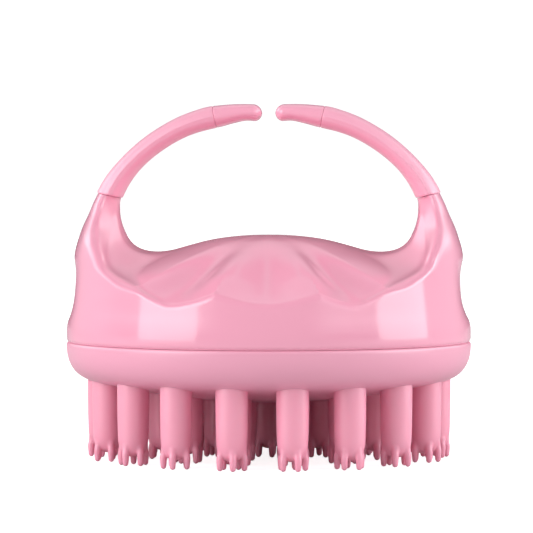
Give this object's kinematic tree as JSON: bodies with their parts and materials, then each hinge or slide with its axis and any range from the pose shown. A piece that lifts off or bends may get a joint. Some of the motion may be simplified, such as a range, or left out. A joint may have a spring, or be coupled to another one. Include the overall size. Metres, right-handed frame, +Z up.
{
  "type": "scalp massager brush",
  "caption": "Palm-held scalp massager brush: domed round head with soft fingered bristles below and two springy arms that close over the hand.",
  "frame": {"origin": "centre of the round head on the plane of the bristle tips", "axes": "+X from the left arm to the right arm, -Y the front that the picture shows, +Z up from the bristle tips to the arms"},
  "size_m": [0.1, 0.1, 0.0873],
  "materials": {
    "gloss_shell": "glossy moulded pink",
    "satin_silicone": "satin pink silicone",
    "grip_sleeve": "satin pink sleeve",
    "inner_plate": "plain moulded, not seen",
    "steel": "plain steel, not seen"
  },
  "bodies": {
    "root": {"top_shell": "gloss_shell", "brush_pad": "satin_silicone", "clamp_plate": "inner_plate", "plate_screw_1": "steel", "plate_screw_2": "steel", "plate_screw_3": "steel", "plate_screw_4": "steel"},
    "left_arm": {"grip_sleeve_left": "grip_sleeve", "tip_cap_left": "gloss_shell", "arm_core_left": "steel"},
    "right_arm": {"grip_sleeve_right": "grip_sleeve", "tip_cap_right": "gloss_shell", "arm_core_right": "steel"},
    "bristle_outer_01": {"bristle_outer_01": "satin_silicone"},
    "bristle_outer_02": {"bristle_outer_02": "satin_silicone"},
    "bristle_outer_03": {"bristle_outer_03": "satin_silicone"},
    "bristle_outer_04": {"bristle_outer_04": "satin_silicone"},
    "bristle_outer_05": {"bristle_outer_05": "satin_silicone"},
    "bristle_outer_06": {"bristle_outer_06": "satin_silicone"},
    "bristle_outer_07": {"bristle_outer_07": "satin_silicone"},
    "bristle_outer_08": {"bristle_outer_08": "satin_silicone"},
    "bristle_outer_09": {"bristle_outer_09": "satin_silicone"},
    "bristle_outer_10": {"bristle_outer_10": "satin_silicone"},
    "bristle_outer_11": {"bristle_outer_11": "satin_silicone"},
    "bristle_outer_12": {"bristle_outer_12": "satin_silicone"},
    "bristle_outer_13": {"bristle_outer_13": "satin_silicone"},
    "bristle_outer_14": {"bristle_outer_14": "satin_silicone"},
    "bristle_outer_15": {"bristle_outer_15": "satin_silicone"},
    "bristle_outer_16": {"bristle_outer_16": "satin_silicone"},
    "bristle_outer_17": {"bristle_outer_17": "satin_silicone"},
    "bristle_outer_18": {"bristle_outer_18": "satin_silicone"},
    "bristle_middle_01": {"bristle_middle_01": "satin_silicone"},
    "bristle_middle_02": {"bristle_middle_02": "satin_silicone"},
    "bristle_middle_03": {"bristle_middle_03": "satin_silicone"},
    "bristle_middle_04": {"bristle_middle_04": "satin_silicone"},
    "bristle_middle_05": {"bristle_middle_05": "satin_silicone"},
    "bristle_middle_06": {"bristle_middle_06": "satin_silicone"},
    "bristle_middle_07": {"bristle_middle_07": "satin_silicone"},
    "bristle_middle_08": {"bristle_middle_08": "satin_silicone"},
    "bristle_middle_09": {"bristle_middle_09": "satin_silicone"},
    "bristle_middle_10": {"bristle_middle_10": "satin_silicone"},
    "bristle_middle_11": {"bristle_middle_11": "satin_silicone"},
    "bristle_middle_12": {"bristle_middle_12": "satin_silicone"},
    "bristle_inner_01": {"bristle_inner_01": "satin_silicone"},
    "bristle_inner_02": {"bristle_inner_02": "satin_silicone"},
    "bristle_inner_03": {"bristle_inner_03": "satin_silicone"},
    "bristle_inner_04": {"bristle_inner_04": "satin_silicone"},
    "bristle_inner_05": {"bristle_inner_05": "satin_silicone"},
    "bristle_inner_06": {"bristle_inner_06": "satin_silicone"},
    "bristle_centre": {"bristle_centre": "satin_silicone"}
  },
  "joints": [
    {"name": "left_arm_flex", "type": "hinge", "parent": "root", "child": "left_arm", "pos_m": [-0.04245, 0, 0.0655], "axis": [0, -1, 0], "range_deg": [-2, 14], "stiffness_Nm_per_rad": 0.4, "deforming": ["arm_core_left"]},
    {"name": "right_arm_flex", "type": "hinge", "parent": "root", "child": "right_arm", "pos_m": [0.04245, 0, 0.0655], "axis": [0, 1, 0], "range_deg": [-2, 14], "stiffness_Nm_per_rad": 0.4, "deforming": ["arm_core_right"]},
    {"name": "bristle_outer_01_flex", "type": "hinge", "parent": "root", "child": "bristle_outer_01", "pos_m": [0.00714, -0.04048, 0.01574], "axis": [-0.9848, -0.1736, 0], "range_deg": [-12, 12], "stiffness_Nm_per_rad": 0.05},
    {"name": "bristle_outer_02_flex", "type": "hinge", "parent": "root", "child": "bristle_outer_02", "pos_m": [0.02055, -0.03559, 0.01574], "axis": [-0.866, -0.5, 0], "range_deg": [-12, 12], "stiffness_Nm_per_rad": 0.05},
    {"name": "bristle_outer_03_flex", "type": "hinge", "parent": "root", "child": "bristle_outer_03", "pos_m": [0.03148, -0.02642, 0.01574], "axis": [-0.6428, -0.766, 0], "range_deg": [-12, 12], "stiffness_Nm_per_rad": 0.05},
    {"name": "bristle_outer_04_flex", "type": "hinge", "parent": "root", "child": "bristle_outer_04", "pos_m": [0.03862, -0.01406, 0.01574], "axis": [-0.342, -0.9397, 0], "range_deg": [-12, 12], "stiffness_Nm_per_rad": 0.05},
    {"name": "bristle_outer_05_flex", "type": "hinge", "parent": "root", "child": "bristle_outer_05", "pos_m": [0.0411, 0, 0.01574], "axis": [0, -1, 0], "range_deg": [-12, 12], "stiffness_Nm_per_rad": 0.05},
    {"name": "bristle_outer_06_flex", "type": "hinge", "parent": "root", "child": "bristle_outer_06", "pos_m": [0.03862, 0.01406, 0.01574], "axis": [0.342, -0.9397, 0], "range_deg": [-12, 12], "stiffness_Nm_per_rad": 0.05},
    {"name": "bristle_outer_07_flex", "type": "hinge", "parent": "root", "child": "bristle_outer_07", "pos_m": [0.03148, 0.02642, 0.01574], "axis": [0.6428, -0.766, 0], "range_deg": [-12, 12], "stiffness_Nm_per_rad": 0.05},
    {"name": "bristle_outer_08_flex", "type": "hinge", "parent": "root", "child": "bristle_outer_08", "pos_m": [0.02055, 0.03559, 0.01574], "axis": [0.866, -0.5, 0], "range_deg": [-12, 12], "stiffness_Nm_per_rad": 0.05},
    {"name": "bristle_outer_09_flex", "type": "hinge", "parent": "root", "child": "bristle_outer_09", "pos_m": [0.00714, 0.04048, 0.01574], "axis": [0.9848, -0.1736, 0], "range_deg": [-12, 12], "stiffness_Nm_per_rad": 0.05},
    {"name": "bristle_outer_10_flex", "type": "hinge", "parent": "root", "child": "bristle_outer_10", "pos_m": [-0.00714, 0.04048, 0.01574], "axis": [0.9848, 0.1736, 0], "range_deg": [-12, 12], "stiffness_Nm_per_rad": 0.05},
    {"name": "bristle_outer_11_flex", "type": "hinge", "parent": "root", "child": "bristle_outer_11", "pos_m": [-0.02055, 0.03559, 0.01574], "axis": [0.866, 0.5, 0], "range_deg": [-12, 12], "stiffness_Nm_per_rad": 0.05},
    {"name": "bristle_outer_12_flex", "type": "hinge", "parent": "root", "child": "bristle_outer_12", "pos_m": [-0.03148, 0.02642, 0.01574], "axis": [0.6428, 0.766, 0], "range_deg": [-12, 12], "stiffness_Nm_per_rad": 0.05},
    {"name": "bristle_outer_13_flex", "type": "hinge", "parent": "root", "child": "bristle_outer_13", "pos_m": [-0.03862, 0.01406, 0.01574], "axis": [0.342, 0.9397, 0], "range_deg": [-12, 12], "stiffness_Nm_per_rad": 0.05},
    {"name": "bristle_outer_14_flex", "type": "hinge", "parent": "root", "child": "bristle_outer_14", "pos_m": [-0.0411, 0, 0.01574], "axis": [0, 1, 0], "range_deg": [-12, 12], "stiffness_Nm_per_rad": 0.05},
    {"name": "bristle_outer_15_flex", "type": "hinge", "parent": "root", "child": "bristle_outer_15", "pos_m": [-0.03862, -0.01406, 0.01574], "axis": [-0.342, 0.9397, 0], "range_deg": [-12, 12], "stiffness_Nm_per_rad": 0.05},
    {"name": "bristle_outer_16_flex", "type": "hinge", "parent": "root", "child": "bristle_outer_16", "pos_m": [-0.03148, -0.02642, 0.01574], "axis": [-0.6428, 0.766, 0], "range_deg": [-12, 12], "stiffness_Nm_per_rad": 0.05},
    {"name": "bristle_outer_17_flex", "type": "hinge", "parent": "root", "child": "bristle_outer_17", "pos_m": [-0.02055, -0.03559, 0.01574], "axis": [-0.866, 0.5, 0], "range_deg": [-12, 12], "stiffness_Nm_per_rad": 0.05},
    {"name": "bristle_outer_18_flex", "type": "hinge", "parent": "root", "child": "bristle_outer_18", "pos_m": [-0.00714, -0.04048, 0.01574], "axis": [-0.9848, 0.1736, 0], "range_deg": [-12, 12], "stiffness_Nm_per_rad": 0.05},
    {"name": "bristle_middle_01_flex", "type": "hinge", "parent": "root", "child": "bristle_middle_01", "pos_m": [0.00691, -0.02579, 0.0131], "axis": [-0.9659, -0.2588, 0], "range_deg": [-12, 12], "stiffness_Nm_per_rad": 0.05},
    {"name": "bristle_middle_02_flex", "type": "hinge", "parent": "root", "child": "bristle_middle_02", "pos_m": [0.01888, -0.01888, 0.0131], "axis": [-0.7071, -0.7071, 0], "range_deg": [-12, 12], "stiffness_Nm_per_rad": 0.05},
    {"name": "bristle_middle_03_flex", "type": "hinge", "parent": "root", "child": "bristle_middle_03", "pos_m": [0.02579, -0.00691, 0.0131], "axis": [-0.2588, -0.9659, 0], "range_deg": [-12, 12], "stiffness_Nm_per_rad": 0.05},
    {"name": "bristle_middle_04_flex", "type": "hinge", "parent": "root", "child": "bristle_middle_04", "pos_m": [0.02579, 0.00691, 0.0131], "axis": [0.2588, -0.9659, 0], "range_deg": [-12, 12], "stiffness_Nm_per_rad": 0.05},
    {"name": "bristle_middle_05_flex", "type": "hinge", "parent": "root", "child": "bristle_middle_05", "pos_m": [0.01888, 0.01888, 0.0131], "axis": [0.7071, -0.7071, 0], "range_deg": [-12, 12], "stiffness_Nm_per_rad": 0.05},
    {"name": "bristle_middle_06_flex", "type": "hinge", "parent": "root", "child": "bristle_middle_06", "pos_m": [0.00691, 0.02579, 0.0131], "axis": [0.9659, -0.2588, 0], "range_deg": [-12, 12], "stiffness_Nm_per_rad": 0.05},
    {"name": "bristle_middle_07_flex", "type": "hinge", "parent": "root", "child": "bristle_middle_07", "pos_m": [-0.00691, 0.02579, 0.0131], "axis": [0.9659, 0.2588, 0], "range_deg": [-12, 12], "stiffness_Nm_per_rad": 0.05},
    {"name": "bristle_middle_08_flex", "type": "hinge", "parent": "root", "child": "bristle_middle_08", "pos_m": [-0.01888, 0.01888, 0.0131], "axis": [0.7071, 0.7071, 0], "range_deg": [-12, 12], "stiffness_Nm_per_rad": 0.05},
    {"name": "bristle_middle_09_flex", "type": "hinge", "parent": "root", "child": "bristle_middle_09", "pos_m": [-0.02579, 0.00691, 0.0131], "axis": [0.2588, 0.9659, 0], "range_deg": [-12, 12], "stiffness_Nm_per_rad": 0.05},
    {"name": "bristle_middle_10_flex", "type": "hinge", "parent": "root", "child": "bristle_middle_10", "pos_m": [-0.02579, -0.00691, 0.0131], "axis": [-0.2588, 0.9659, 0], "range_deg": [-12, 12], "stiffness_Nm_per_rad": 0.05},
    {"name": "bristle_middle_11_flex", "type": "hinge", "parent": "root", "child": "bristle_middle_11", "pos_m": [-0.01888, -0.01888, 0.0131], "axis": [-0.7071, 0.7071, 0], "range_deg": [-12, 12], "stiffness_Nm_per_rad": 0.05},
    {"name": "bristle_middle_12_flex", "type": "hinge", "parent": "root", "child": "bristle_middle_12", "pos_m": [-0.00691, -0.02579, 0.0131], "axis": [-0.9659, 0.2588, 0], "range_deg": [-12, 12], "stiffness_Nm_per_rad": 0.05},
    {"name": "bristle_inner_01_flex", "type": "hinge", "parent": "root", "child": "bristle_inner_01", "pos_m": [0.0062, -0.01074, 0.01153], "axis": [-0.866, -0.5, 0], "range_deg": [-12, 12], "stiffness_Nm_per_rad": 0.05},
    {"name": "bristle_inner_02_flex", "type": "hinge", "parent": "root", "child": "bristle_inner_02", "pos_m": [0.0124, 0, 0.01153], "axis": [0, -1, 0], "range_deg": [-12, 12], "stiffness_Nm_per_rad": 0.05},
    {"name": "bristle_inner_03_flex", "type": "hinge", "parent": "root", "child": "bristle_inner_03", "pos_m": [0.0062, 0.01074, 0.01153], "axis": [0.866, -0.5, 0], "range_deg": [-12, 12], "stiffness_Nm_per_rad": 0.05},
    {"name": "bristle_inner_04_flex", "type": "hinge", "parent": "root", "child": "bristle_inner_04", "pos_m": [-0.0062, 0.01074, 0.01153], "axis": [0.866, 0.5, 0], "range_deg": [-12, 12], "stiffness_Nm_per_rad": 0.05},
    {"name": "bristle_inner_05_flex", "type": "hinge", "parent": "root", "child": "bristle_inner_05", "pos_m": [-0.0124, 0, 0.01153], "axis": [0, 1, 0], "range_deg": [-12, 12], "stiffness_Nm_per_rad": 0.05},
    {"name": "bristle_inner_06_flex", "type": "hinge", "parent": "root", "child": "bristle_inner_06", "pos_m": [-0.0062, -0.01074, 0.01153], "axis": [-0.866, 0.5, 0], "range_deg": [-12, 12], "stiffness_Nm_per_rad": 0.05},
    {"name": "bristle_centre_flex", "type": "hinge", "parent": "root", "child": "bristle_centre", "pos_m": [0, 0, 0.0111], "axis": [-1, 0, 0], "range_deg": [-12, 12], "stiffness_Nm_per_rad": 0.05}
  ]
}
